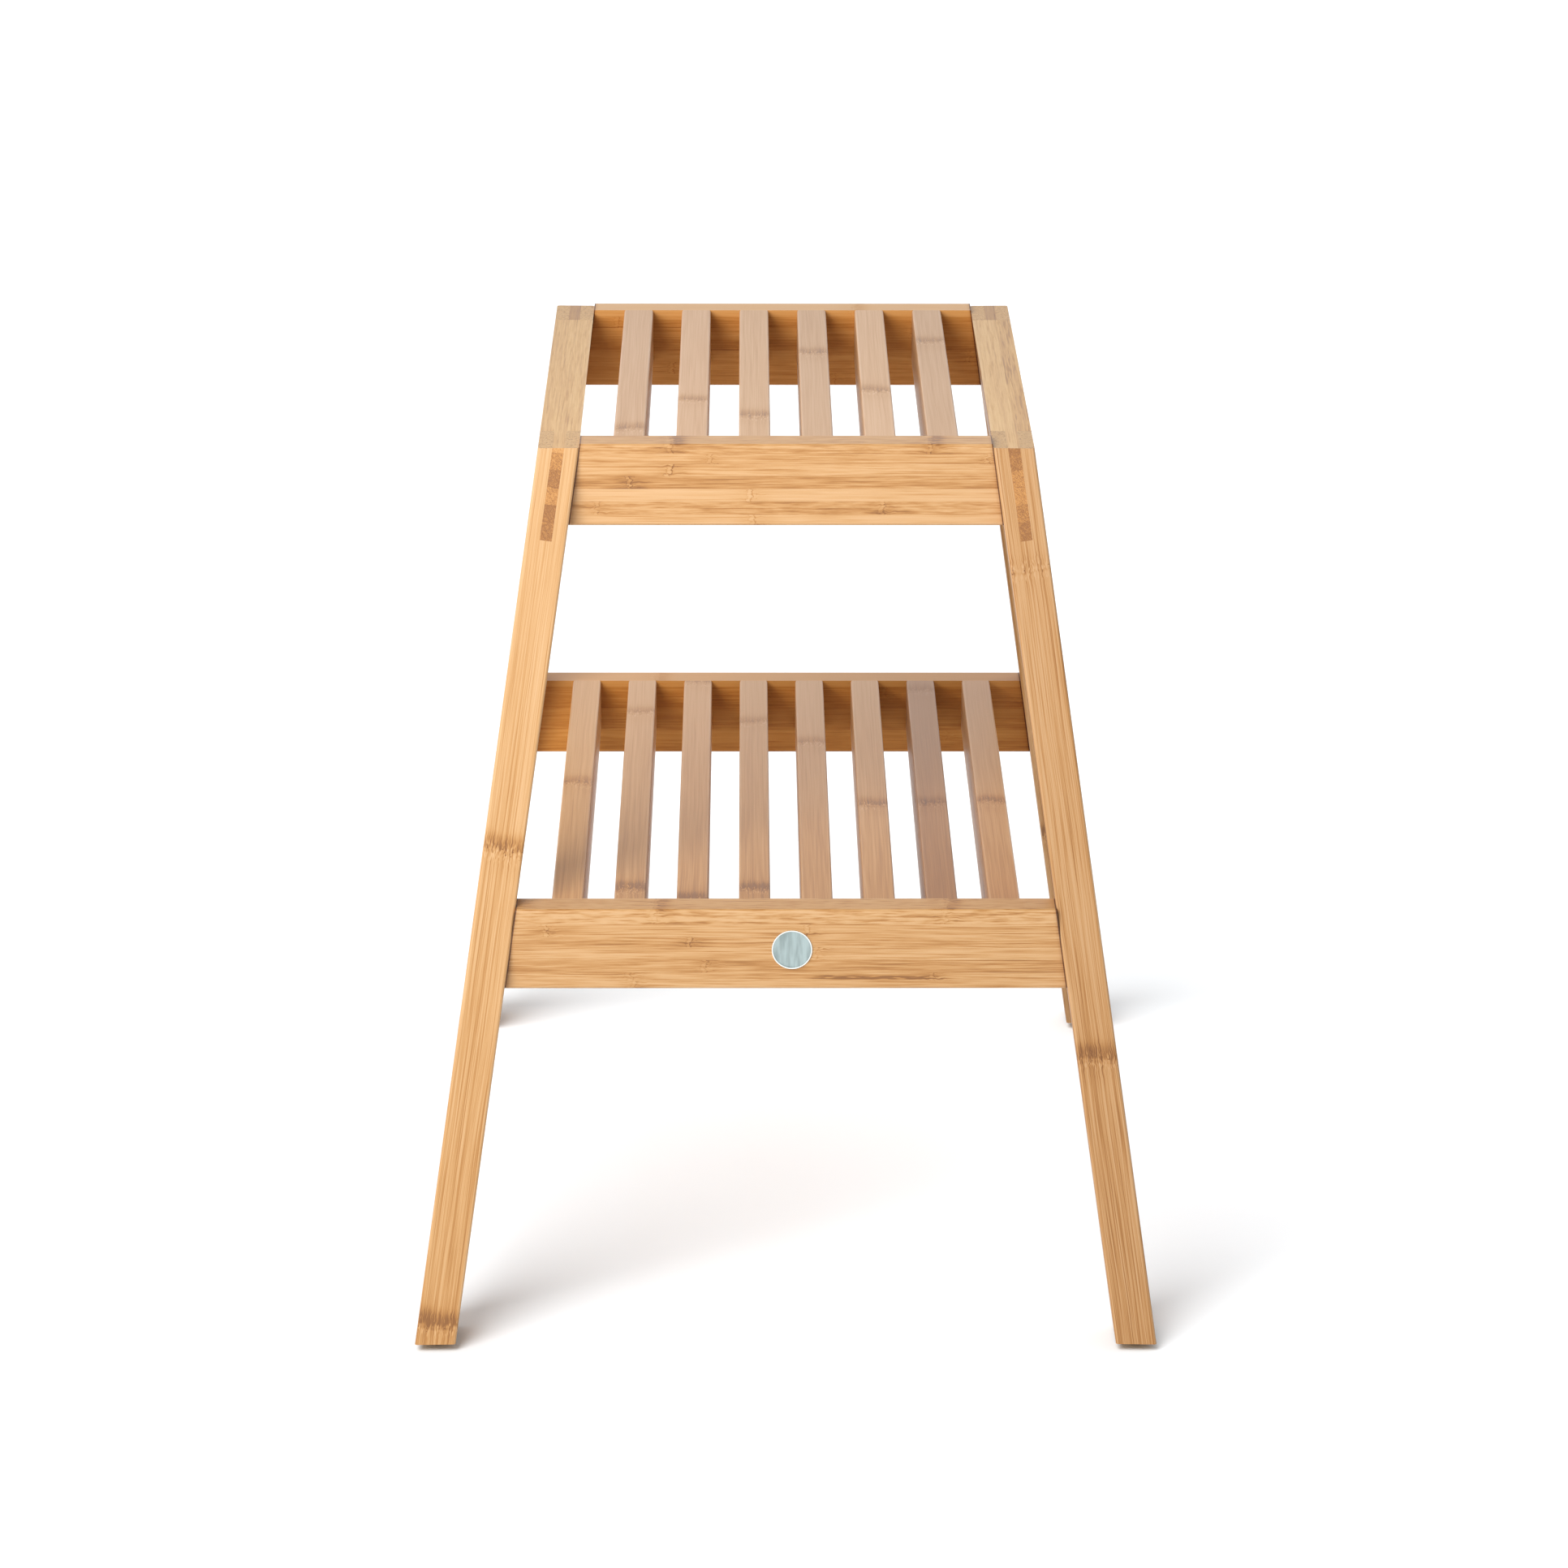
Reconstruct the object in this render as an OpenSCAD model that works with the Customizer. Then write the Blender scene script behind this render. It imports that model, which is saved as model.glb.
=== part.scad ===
// Small slatted bamboo bench: two leaning side frames, a slatted seat and a slatted lower shelf.
// X runs left to right, -Y is the front, +Z is up. The origin is on the floor under the bench's middle.
// All sizes are in mm. Each wood piece is a straight board cut from laminated bamboo.

/* [Overall] */
// Height of the seat slats' top face above the floor
seat_h = 450; // [430:5:470]
// Width over the two side frames, at the top of the rails
top_w = 250; // [246:1:256]
// Width over the two side frames, at the foot of the legs
foot_w = 377.5; // [366:0.5:386]
// Depth over the front and rear legs, at the top of the rails
top_d = 331; // [330:0.5:333]
// Depth over the front and rear legs, at their feet
foot_d = 531.5; // [528:0.5:534]
// How far the rails and the leg tops lie below the seat's top face
rail_drop = 1.7; // [1:0.1:3]

/* [Legs and rails] */
// Thickness of the legs and the rails, across the side frame
leg_t = 20.5; // [20:0.1:22]
// Depth of a leg, along the side frame and square to the leg
leg_d = 35.7; // [34:0.1:38]
// Height of a rail, measured upright
rail_h = 44; // [42:0.5:48]
// Thickness of the rail's end tongue, which sits in the leg's open slot
tongue_t = 6; // [5:0.1:7]
// Radius of the legs' and the rails' long edges
leg_r = 1.5; // [1:0.1:2]

/* [Aprons] */
// Thickness of the cross boards that carry the slats
apron_t = 18.4; // [18:0.1:19]
// Height of the cross boards
apron_h = 42.3; // [41:0.1:44]
// Depth over the seat's front and rear cross boards
seat_d = 328; // [326:0.5:330]
// Depth over the shelf's front and rear cross boards
shelf_d = 437; // [434:0.5:440]
// Height of the shelf slats' top face above the floor
shelf_h = 221.4; // [218:0.2:224]
// Radius of the long edges on a cross board's outer side
apron_r = 1.6; // [1:0.1:2]

/* [Slats] */
// Width of a slat
slat_w = 15.9; // [15:0.1:17]
// Height of a slat, which stands on edge
slat_h = 29.2; // [27:0.1:30]
// Distance from one slat's middle to the next one's
slat_pitch = 31.75; // [31.4:0.05:32]
// Radius of the slats' long edges
slat_r = 1; // [0.5:0.1:1.5]

/* [Badge] */
// Diameter of the round metal badge on the shelf's front cross board
badge_dia = 20.5; // [18:0.5:24]
// Thickness of the badge
badge_t = 1.2; // [1:0.1:1.6]
// Depth of the badge's recess in the cross board
badge_recess = 0.6; // [0.4:0.1:0.8]
// Distance of the badge's middle to the right of the board's middle
badge_x = 3; // [0:0.5:6]

/* [Foot glides] */
// Diameter of the plastic glide nailed under each foot
glide_dia = 18; // [16:0.5:18.5]
// Height of a glide, which lifts the leg off the floor
glide_t = 4; // [4:0.5:5]
// Diameter of the nail's shank
nail_dia = 2.5; // [2:0.1:2.6]

/* [Fasteners] */
// Diameter of the bolts that hold the cross boards between the side frames
bolt_dia = 6; // [5.8:0.1:6]
// Length of a bolt under its head
bolt_l = 50; // [48:1:52]
// Diameter of a bolt's flat head
head_dia = 14; // [12:0.5:14]
// Thickness of a bolt's flat head, let in flush with the leg's outer face
head_t = 2.4; // [2:0.1:2.6]
// Diameter of the round cross nut inside the cross board
nut_dia = 10; // [9.6:0.1:10.2]
// Length of the cross nut
nut_l = 12; // [11:0.5:12]
// Diameter of the dowel beside each bolt
apron_dowel_dia = 8; // [7.5:0.1:8.2]
// Diameter of the dowel in each slat's end
slat_dowel_dia = 6; // [5.5:0.1:6.5]

/* [Hidden] */

// Slats on the seat and on the shelf
seat_slats = 6;
shelf_slats = 8;

// Height of the rails' and the leg tops' level cut
rail_top = seat_h - rail_drop;
// Angle between a side frame and the upright
lean = atan((foot_w - top_w) / 2 / (rail_top - glide_t));
// Height of a side frame, measured along its own leaning plane
frame_l = (rail_top - glide_t) / cos(lean);
// Angle between a leg and the frame's upright, within the leaning plane
splay = atan((foot_d - top_d) / 2 / frame_l);
// Depth of a leg along a level line
leg_run = leg_d / cos(splay);
// Height of the rail's underside along the leaning plane
rail_low = (rail_top - rail_h - glide_t) / cos(lean);
// Extra length on boards before their level cuts
spare = 20;

// Clearance of a dowel or a nut in its hole, on the radius
ease = 0.05;
// Clearance of a bolt in its hole, on the radius
bolt_ease = 0.2;
// Distance of the bolt below and of the dowel above the cross board's mid height
bolt_down = 7;
dowel_up = 11;
// Distance from the leg's inner face to the cross nut's middle
nut_in = 26;
// Length of a cross board's dowel in the leg and in the cross board
dowel_leg = 12;
dowel_apron = 18;
// Length of a slat's dowel in the cross board and in the slat
dowel_board = 12;
dowel_slat = 16;
// How much deeper each blind hole is than the piece in it
hole_spare = 1;
// Hexagon socket of the bolts, across its flats
socket_af = 4;
// Length of a glide's nail in the leg, and its head
nail_leg = 15;
nail_head_dia = 6;
nail_head_t = 1;

// Colours of the pieces
wood = [0.80, 0.60, 0.40];
wood_pale = [0.82, 0.66, 0.50];
wood_side = [0.83, 0.67, 0.46];
dowel_wood = [0.87, 0.74, 0.55];
steel = [0.62, 0.62, 0.64];
badge_metal = [0.66, 0.75, 0.73];
glide_plastic = [0.22, 0.14, 0.09];

// ---- flat shapes ----

// Rectangle around the origin with four rounded corners
module rounded_rect(w, h, r) {
    square([w - 2 * r, h], center = true);
    square([w, h - 2 * r], center = true);
    for (x = [-1, 1]) {
        for (y = [-1, 1]) {
            translate([x * (w / 2 - r), y * (h / 2 - r)]) circle(r = r, $fn = 48);
        }
    }
}

// Rectangle from x = 0 to t and y = 0 to h, with its two corners at x = 0 rounded
module half_rounded_rect(t, h, r) {
    translate([r, 0]) square([t - r, h]);
    translate([0, r]) square([t, h - 2 * r]);
    translate([r, r]) circle(r = r, $fn = 48);
    translate([r, h - r]) circle(r = r, $fn = 48);
}

// Hexagon with the given distance across its flats
module hexagon(af) {
    circle(r = af / 2 / cos(30), $fn = 6);
}

// ---- placing ----

// The leaning plane of a side frame: s is -1 for left and 1 for right.
// Inside, x = 0 is the frame's outer face, y is depth and z runs up along the lean from the foot.
module side_plane(s) {
    translate([s * foot_w / 2, 0, glide_t]) rotate([0, -s * lean, 0]) children();
}

// Keeps only what lies between the feet's and the rails' level cuts
module level_cuts() {
    intersection() {
        children();
        translate([-foot_w, -foot_d, glide_t]) cube([2 * foot_w, 2 * foot_d, rail_top - glide_t]);
    }
}

// Height along the leaning plane of a point on the frame's inner face at height z
function plane_z(z) = (z - glide_t + leg_t * sin(lean)) / cos(lean);

// Half of the clear width between the side frames at height z
function clear_half(z) = foot_w / 2 - leg_t / cos(lean) - (z - glide_t) * tan(lean);

// Distance of the legs' outer edge from the middle, at a height along the leaning plane
function leg_edge(z) = foot_d / 2 - z * tan(splay);

// Mid height and outer-face distance of the cross boards: the seat's, then the shelf's
board_mid = [seat_h - apron_h / 2, shelf_h - apron_h / 2];
board_out = [seat_d / 2, shelf_d / 2];

// Puts children at each cross board's end: level is 0 for the seat and 1 for the shelf, f is -1 for front.
// Inside, +z points from the frame's outer face into the cross board, dz is the height above mid height.
module at_board_end(s, f, level, dz) {
    y = f * (board_out[level] - apron_t / 2);
    side_plane(s) translate([0, y, plane_z(board_mid[level] + dz)]) rotate([0, -s * 90, 0]) children();
}

// ---- holes ----

// Bolt's hole through the leg and into the cross board, with the flat head's recess
module bolt_hole(s, f, level) {
    at_board_end(s, f, level, -bolt_down) {
        translate([0, 0, -1]) cylinder(r = bolt_dia / 2 + bolt_ease, h = head_t + bolt_l + hole_spare + 1, $fn = 48);
        translate([0, 0, -1]) cylinder(r = head_dia / 2 + bolt_ease, h = head_t + 1, $fn = 64);
    }
}

// Cross nut's hole, drilled from the cross board's inner side
module nut_hole(s, f, level) {
    at_board_end(s, f, level, -bolt_down) {
        translate([0, 0, leg_t + nut_in]) rotate([f * 90, 0, 0])
            translate([0, 0, -nut_l / 2]) cylinder(r = nut_dia / 2 + ease, h = apron_t, $fn = 64);
    }
}

// Dowel's hole in the leg's inner face and the cross board's end
module apron_dowel_hole(s, f, level) {
    at_board_end(s, f, level, dowel_up) {
        translate([0, 0, leg_t - dowel_leg - hole_spare])
            cylinder(r = apron_dowel_dia / 2 + ease, h = dowel_leg + dowel_apron + 2 * hole_spare, $fn = 48);
    }
}

// All holes where one cross board's end meets one leg
module board_end_holes(s, f, level) {
    bolt_hole(s, f, level);
    apron_dowel_hole(s, f, level);
}

// Nail's hole straight up into a leg
module nail_hole(s, f) {
    translate([glide_x(s), glide_y(f), glide_t - 1])
        cylinder(r = nail_dia / 2 + ease, h = nail_leg + hole_spare + 1, $fn = 32);
}

// Middle of the leg's foot, where the glide sits
function glide_x(s) = s * (foot_w / 2 - leg_t / cos(lean) / 2);
function glide_y(f) = f * (foot_d / 2 - leg_run / 2);

// ---- side frames ----

// One leg: f is -1 for front and 1 for rear
module leg(s, f) {
    color(wood_side) difference() {
        level_cuts() {
            side_plane(s) translate([0, f * foot_d / 2, 0]) rotate([f * splay, 0, 0])
                translate([-s * leg_t / 2, -f * leg_d / 2, -spare])
                    linear_extrude(height = frame_l / cos(splay) + 2 * spare) rounded_rect(leg_t, leg_d, leg_r);
        }
        // open slot for the rail's tongue
        side_plane(s) translate([-s * leg_t / 2 - tongue_t / 2, -foot_d, rail_low])
            cube([tongue_t, 2 * foot_d, frame_l]);
        board_end_holes(s, f, 0);
        board_end_holes(s, f, 1);
        nail_hole(s, f);
    }
}

// Outline of a rail in its plane: inset is 0 for the tongues and the leg's depth for the body
module rail_outline(inset) {
    low = leg_edge(rail_low) - inset;
    high = leg_edge(frame_l + spare) - inset;
    polygon([[-low, rail_low], [low, rail_low], [high, frame_l + spare], [-high, frame_l + spare]]);
}

// One rail with a tongue at each end
module rail(s) {
    color(wood_side) difference() {
        level_cuts() {
            side_plane(s) {
                // body between the legs, with rounded lower edges
                intersection() {
                    translate([-s * leg_t / 2 - leg_t / 2, 0, 0]) rotate([90, 0, 90])
                        linear_extrude(height = leg_t) rail_outline(leg_run);
                    translate([-s * leg_t / 2, foot_d / 2, rail_low + rail_h]) rotate([90, 0, 0])
                        linear_extrude(height = foot_d) rounded_rect(leg_t, 2 * rail_h, leg_r);
                }
                // tongues out to the legs' outer edges
                translate([-s * leg_t / 2 - tongue_t / 2, 0, 0]) rotate([90, 0, 90])
                    linear_extrude(height = tongue_t) rail_outline(0);
            }
        }
        for (f = [-1, 1]) {
            board_end_holes(s, f, 0);
        }
    }
}

// ---- cross boards and slats ----

// A cross board with its ends cut to the frames' lean
module cross_board(f, level) {
    top = board_mid[level] + apron_h / 2;
    low = top - apron_h;
    intersection() {
        translate([-foot_w / 2, f * board_out[level], low]) rotate([90, 0, 90])
            linear_extrude(height = foot_w) scale([-f, 1]) half_rounded_rect(apron_t, apron_h, apron_r);
        translate([0, foot_d / 2, 0]) rotate([90, 0, 0]) linear_extrude(height = foot_d)
            polygon([
                [-clear_half(low), low], [clear_half(low), low],
                [clear_half(top), top], [-clear_half(top), top]
            ]);
    }
}

// Positions of a row of n slats
function slat_x(i, n) = (i - (n - 1) / 2) * slat_pitch;

// Dowels or dowel holes at one end of a row of slats
module slat_dowels(f, level, n, gap, extra) {
    z = board_mid[level] + apron_h / 2 - slat_h / 2;
    y = f * (board_out[level] - apron_t);
    for (i = [0 : n - 1]) {
        translate([slat_x(i, n), y + f * (dowel_board + extra), z]) rotate([f * 90, 0, 0])
            cylinder(r = slat_dowel_dia / 2 + gap, h = dowel_board + dowel_slat + 2 * extra, $fn = 48);
    }
}

// A cross board with the holes for its nuts, bolts and dowels
module drilled_board(f, level, n) {
    difference() {
        cross_board(f, level);
        for (s = [-1, 1]) {
            board_end_holes(s, f, level);
            nut_hole(s, f, level);
        }
        slat_dowels(f, level, n, ease, hole_spare);
    }
}

module seat_apron(f) {
    color(wood) drilled_board(f, 0, seat_slats);
}

module shelf_apron(f) {
    color(wood) difference() {
        drilled_board(f, 1, shelf_slats);
        if (f < 0) {
            // the badge's shallow recess
            translate([badge_x, -board_out[1] + badge_recess, board_mid[1]]) rotate([90, 0, 0])
                cylinder(r = badge_dia / 2 + ease, h = badge_t, $fn = 96);
        }
    }
}

// A slat on edge between the two cross boards, with a dowel hole in each end
module slat(i, level, n) {
    length = 2 * (board_out[level] - apron_t);
    top = board_mid[level] + apron_h / 2;
    color(wood_pale) difference() {
        translate([slat_x(i, n), length / 2, top - slat_h / 2]) rotate([90, 0, 0])
            linear_extrude(height = length) rounded_rect(slat_w, slat_h, slat_r);
        for (f = [-1, 1]) {
            translate([slat_x(i, n), f * (length / 2 + 1), top - slat_h / 2]) rotate([f * 90, 0, 0])
                cylinder(r = slat_dowel_dia / 2 + ease, h = dowel_slat + hole_spare + 1, $fn = 48);
        }
    }
}

module seat_slat(i) {
    slat(i, 0, seat_slats);
}

module shelf_slat(i) {
    slat(i, 1, shelf_slats);
}

// ---- small pieces ----

// Round metal badge with a narrow raised rim and a plain face
module badge_disc() {
    rim = 0.9;
    sink = 0.25;
    color(badge_metal) translate([badge_x, -board_out[1] + badge_recess, board_mid[1]]) rotate([90, 0, 0])
        difference() {
            cylinder(r = badge_dia / 2, h = badge_t, $fn = 96);
            translate([0, 0, badge_t - sink]) cylinder(r = badge_dia / 2 - rim, h = 1, $fn = 96);
        }
}

// Round plastic glide moulded around its nail's head
module glide(s, f) {
    color(glide_plastic) translate([glide_x(s), glide_y(f), 0]) difference() {
        rotate_extrude($fn = 72) polygon([
            [0, 0], [glide_dia / 2 - 1, 0], [glide_dia / 2, 1], [glide_dia / 2, glide_t], [0, glide_t]
        ]);
        translate([0, 0, glide_t / 2 - nail_head_t / 2]) cylinder(r = nail_head_dia / 2, h = nail_head_t, $fn = 48);
        translate([0, 0, glide_t / 2]) cylinder(r = nail_dia / 2, h = glide_t, $fn = 32);
    }
}

// Nails of the four glides
module glide_nails() {
    color(steel) for (s = [-1, 1]) {
        for (f = [-1, 1]) {
            translate([glide_x(s), glide_y(f), glide_t / 2 - nail_head_t / 2]) {
                cylinder(r = nail_head_dia / 2, h = nail_head_t, $fn = 48);
                cylinder(r = nail_dia / 2, h = nail_leg + glide_t / 2 + nail_head_t / 2, $fn = 32);
            }
        }
    }
}

// Flat-headed bolts with a hexagon socket, two at each end of each cross level
module frame_bolts() {
    color(steel) for (s = [-1, 1]) {
        for (f = [-1, 1]) {
            for (level = [0, 1]) {
                at_board_end(s, f, level, -bolt_down) difference() {
                    union() {
                        cylinder(r = head_dia / 2, h = head_t, $fn = 64);
                        cylinder(r = bolt_dia / 2, h = head_t + bolt_l, $fn = 48);
                    }
                    translate([0, 0, -1]) linear_extrude(height = 4) hexagon(socket_af);
                }
            }
        }
    }
}

// Round cross nuts inside the cross boards
module barrel_nuts() {
    color(steel) for (s = [-1, 1]) {
        for (f = [-1, 1]) {
            for (level = [0, 1]) {
                at_board_end(s, f, level, -bolt_down) translate([0, 0, leg_t + nut_in]) difference() {
                    rotate([90, 0, 0]) cylinder(r = nut_dia / 2, h = nut_l, center = true, $fn = 64);
                    // bore for the bolt
                    cylinder(r = bolt_dia / 2 + ease, h = 2 * nut_dia, center = true, $fn = 48);
                    // driver slot in the nut's inner end
                    translate([0, -f * nut_l / 2, 0]) cube([nut_dia + 1, 1.6, 1.4], center = true);
                }
            }
        }
    }
}

// Dowels between the legs and the cross boards
module apron_dowels() {
    color(dowel_wood) for (s = [-1, 1]) {
        for (f = [-1, 1]) {
            for (level = [0, 1]) {
                at_board_end(s, f, level, dowel_up) translate([0, 0, leg_t - dowel_leg])
                    cylinder(r = apron_dowel_dia / 2, h = dowel_leg + dowel_apron, $fn = 48);
            }
        }
    }
}

module seat_slat_dowels() {
    color(dowel_wood) for (f = [-1, 1]) {
        slat_dowels(f, 0, seat_slats, 0, 0);
    }
}

module shelf_slat_dowels() {
    color(dowel_wood) for (f = [-1, 1]) {
        slat_dowels(f, 1, shelf_slats, 0, 0);
    }
}

// ---- pieces ----
leg(-1, -1);  // leg_front_left
leg(1, -1);  // leg_front_right
leg(-1, 1);  // leg_rear_left
leg(1, 1);  // leg_rear_right
rail(-1);  // rail_left
rail(1);  // rail_right
seat_apron(-1);  // seat_apron_front
seat_apron(1);  // seat_apron_rear
seat_slat(0);  // seat_slat_1
seat_slat(1);  // seat_slat_2
seat_slat(2);  // seat_slat_3
seat_slat(3);  // seat_slat_4
seat_slat(4);  // seat_slat_5
seat_slat(5);  // seat_slat_6
shelf_apron(-1);  // shelf_apron_front
shelf_apron(1);  // shelf_apron_rear
shelf_slat(0);  // shelf_slat_1
shelf_slat(1);  // shelf_slat_2
shelf_slat(2);  // shelf_slat_3
shelf_slat(3);  // shelf_slat_4
shelf_slat(4);  // shelf_slat_5
shelf_slat(5);  // shelf_slat_6
shelf_slat(6);  // shelf_slat_7
shelf_slat(7);  // shelf_slat_8
badge_disc();
glide(-1, -1);  // glide_front_left
glide(1, -1);  // glide_front_right
glide(-1, 1);  // glide_rear_left
glide(1, 1);  // glide_rear_right
glide_nails();
frame_bolts();
barrel_nuts();
apron_dowels();
seat_slat_dowels();
shelf_slat_dowels();
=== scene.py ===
import math
import random
from dataclasses import dataclass

import bpy
from mathutils import Matrix, Vector


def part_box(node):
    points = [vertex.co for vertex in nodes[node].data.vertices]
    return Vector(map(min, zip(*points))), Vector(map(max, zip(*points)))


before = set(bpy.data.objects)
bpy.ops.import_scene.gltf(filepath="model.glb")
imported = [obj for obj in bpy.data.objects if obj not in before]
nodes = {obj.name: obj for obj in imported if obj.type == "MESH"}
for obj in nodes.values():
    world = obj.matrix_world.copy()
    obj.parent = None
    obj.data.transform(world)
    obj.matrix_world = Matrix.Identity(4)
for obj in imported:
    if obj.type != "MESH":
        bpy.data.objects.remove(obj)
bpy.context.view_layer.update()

MM = 0.001
WORLD_AXES = ((1, 0, 0), (0, 1, 0), (0, 0, 1))


# ---------------------------------------------------------------- node trees

class Tree:
    """A material's node tree, with one short call for each kind of node."""

    def __init__(self, name):
        self.material = bpy.data.materials.new(name)
        self.material.use_nodes = True
        self.tree = self.material.node_tree
        self.tree.nodes.clear()

    def feed(self, socket, value):
        if isinstance(value, bpy.types.NodeSocket):
            self.tree.links.new(value, socket)
        else:
            socket.default_value = value

    def node(self, kind, **settings):
        made = self.tree.nodes.new(kind)
        for key, value in settings.items():
            setattr(made, key, value)
        return made

    def math(self, operation, a, b=0.0, c=0.0, clamp=False):
        made = self.node("ShaderNodeMath", operation=operation, use_clamp=clamp)
        for socket, value in zip(made.inputs, (a, b, c)):
            self.feed(socket, value)
        return made.outputs[0]

    def add(self, *values):
        total = values[0]
        for value in values[1:]:
            total = self.math("ADD", total, value)
        return total

    def times(self, a, b):
        return self.math("MULTIPLY", a, b)

    def wave(self, value, amount):
        """A noise value moved to swing round 0 by about the amount."""
        return self.math("MULTIPLY_ADD", value, amount, -0.5 * amount)

    def size(self, value):
        return self.math("ABSOLUTE", value)

    def fade(self, value, start, end, low=0.0, high=1.0):
        """Goes smoothly from low at start to high at end."""
        made = self.node("ShaderNodeMapRange", interpolation_type="SMOOTHSTEP")
        if start > end:
            start, end, low, high = end, start, high, low
        for socket, number in zip(made.inputs, (value, start, end, low, high)):
            self.feed(socket, number)
        return made.outputs["Result"]

    def less(self, value):
        """One minus the value."""
        return self.math("SUBTRACT", 1.0, value)

    def vector(self, x, y, z):
        made = self.node("ShaderNodeCombineXYZ")
        for socket, value in zip(made.inputs, (x, y, z)):
            self.feed(socket, value)
        return made.outputs[0]

    def parts(self, vector):
        made = self.node("ShaderNodeSeparateXYZ")
        self.feed(made.inputs[0], vector)
        return made.outputs

    def dot(self, vector, axis):
        made = self.node("ShaderNodeVectorMath", operation="DOT_PRODUCT")
        self.feed(made.inputs[0], vector)
        made.inputs[1].default_value = axis
        return made.outputs["Value"]

    def noise(self, x, y, z, w, detail=2.0, roughness=0.5):
        made = self.node("ShaderNodeTexNoise", noise_dimensions="4D")
        self.feed(made.inputs["Vector"], self.vector(x, y, z))
        self.feed(made.inputs["W"], w)
        made.inputs["Scale"].default_value = 1.0
        made.inputs["Detail"].default_value = detail
        made.inputs["Roughness"].default_value = roughness
        return made.outputs["Fac"]

    def cells(self, x, y, z):
        """The distance to the nearest of many scattered points, about 1 apart."""
        made = self.node("ShaderNodeTexVoronoi", voronoi_dimensions="3D", feature="F1")
        self.feed(made.inputs["Vector"], self.vector(x, y, z))
        made.inputs["Scale"].default_value = 1.0
        return made.outputs["Distance"]

    def ramp(self, factor, stops, steps=False):
        made = self.node("ShaderNodeValToRGB")
        made.color_ramp.interpolation = "CONSTANT" if steps else "LINEAR"
        elements = made.color_ramp.elements
        while len(elements) > 1:
            elements.remove(elements[-1])
        elements[0].position, elements[0].color = stops[0]
        for position, colour in stops[1:]:
            elements.new(position).color = colour
        self.feed(made.inputs["Fac"], factor)
        return made

    def mix(self, factor, a, b, blend="MIX"):
        made = self.node("ShaderNodeMix", data_type="RGBA", blend_type=blend)
        self.feed(made.inputs["Factor"], factor)
        for socket, value in ((made.inputs[6], a), (made.inputs[7], b)):
            if isinstance(value, tuple) and len(value) == 3:
                value = (*value, 1.0)
            self.feed(socket, value)
        return made.outputs[2]

    def place(self, axes, middle):
        """Object coordinates turned into the board's own axes, in millimetres from its middle."""
        made = self.node("ShaderNodeMapping", vector_type="POINT")
        turn = Matrix(axes)
        made.inputs["Rotation"].default_value = turn.to_euler("XYZ")
        made.inputs["Scale"].default_value = (1 / MM,) * 3
        made.inputs["Location"].default_value = -(turn @ Vector(middle)) / MM
        self.feed(made.inputs["Vector"], self.node("ShaderNodeTexCoord").outputs["Object"])
        return self.parts(made.outputs[0])

    def finish(self, colour, roughness, height=None, depth=0.0, **values):
        shader = self.node("ShaderNodeBsdfPrincipled")
        output = self.node("ShaderNodeOutputMaterial")
        self.feed(shader.inputs["Base Color"], colour)
        self.feed(shader.inputs["Roughness"], roughness)
        for key, value in values.items():
            self.feed(shader.inputs[key.replace("_", " ")], value)
        if height is not None:
            bump = self.node("ShaderNodeBump")
            bump.inputs["Strength"].default_value = 1.0
            bump.inputs["Distance"].default_value = depth * MM
            self.feed(bump.inputs["Height"], height)
            self.feed(shader.inputs["Normal"], bump.outputs[0])
        self.feed(output.inputs["Surface"], shader.outputs[0])
        return self.material


def soften(piece, width):
    """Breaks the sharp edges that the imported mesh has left, by modifiers only."""
    weld = piece.modifiers.new("join", "WELD")
    weld.merge_threshold = 0.00001
    bevel = piece.modifiers.new("arris", "BEVEL")
    bevel.width = width * MM
    bevel.segments = 2
    bevel.limit_method = "ANGLE"
    bevel.angle_limit = math.radians(35)
    bevel.miter_outer = "MITER_ARC"
    weighted = piece.modifiers.new("normals", "WEIGHTED_NORMAL")
    weighted.weight = 60


def wear(piece, material):
    """The piece shows this material in every slot, and its mesh stays as packed."""
    for slot in piece.material_slots:
        slot.link = "OBJECT"
        slot.material = material


# ---------------------------------------------------------------- bamboo boards

# No face of a board is square to this, so it picks one of two opposite normals.
ONE_WAY = Vector((1.0, 0.31, 0.17))


class Board:
    """A board's own axes: x along it, y through its laminations, z across its wide strips."""

    def __init__(self, name, along, out):
        self.piece = nodes[name]
        self.name = name
        along, out = Vector(along), Vector(out)
        side, other = self.widest_sides()
        u = side.cross(other).normalized()
        if u.dot(along) < 0:
            u = -u
        v = max((side, u.cross(side).normalized()), key=lambda n: abs(n.dot(out)))
        if v.dot(out) < 0:
            v = -v
        w = u.cross(v).normalized()
        self.axes = (tuple(u), tuple(v), tuple(w))
        turned = [Matrix(self.axes) @ vertex.co for vertex in self.piece.data.vertices]
        low = Vector(min(p[i] for p in turned) for i in range(3))
        high = Vector(max(p[i] for p in turned) for i in range(3))
        self.middle = Matrix(self.axes).transposed() @ ((low + high) / 2)
        self.length, self.height, self.width = (high - low) / MM

    def widest_sides(self):
        """The normals of the board's largest sides that aren't parallel."""
        sides = {}
        for face in self.piece.data.polygons:
            normal = face.normal if face.normal.dot(ONE_WAY) > 0 else -face.normal
            key = tuple(round(c, 2) for c in normal)
            total, area = sides.get(key, (Vector(), 0.0))
            sides[key] = (total + normal * face.area, area + face.area)
        ranked = [total.normalized() for total, area in sorted(sides.values(), key=lambda s: -s[1])]
        side = ranked[0]
        return side, next(n for n in ranked if abs(n.dot(side)) < 0.3)


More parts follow.
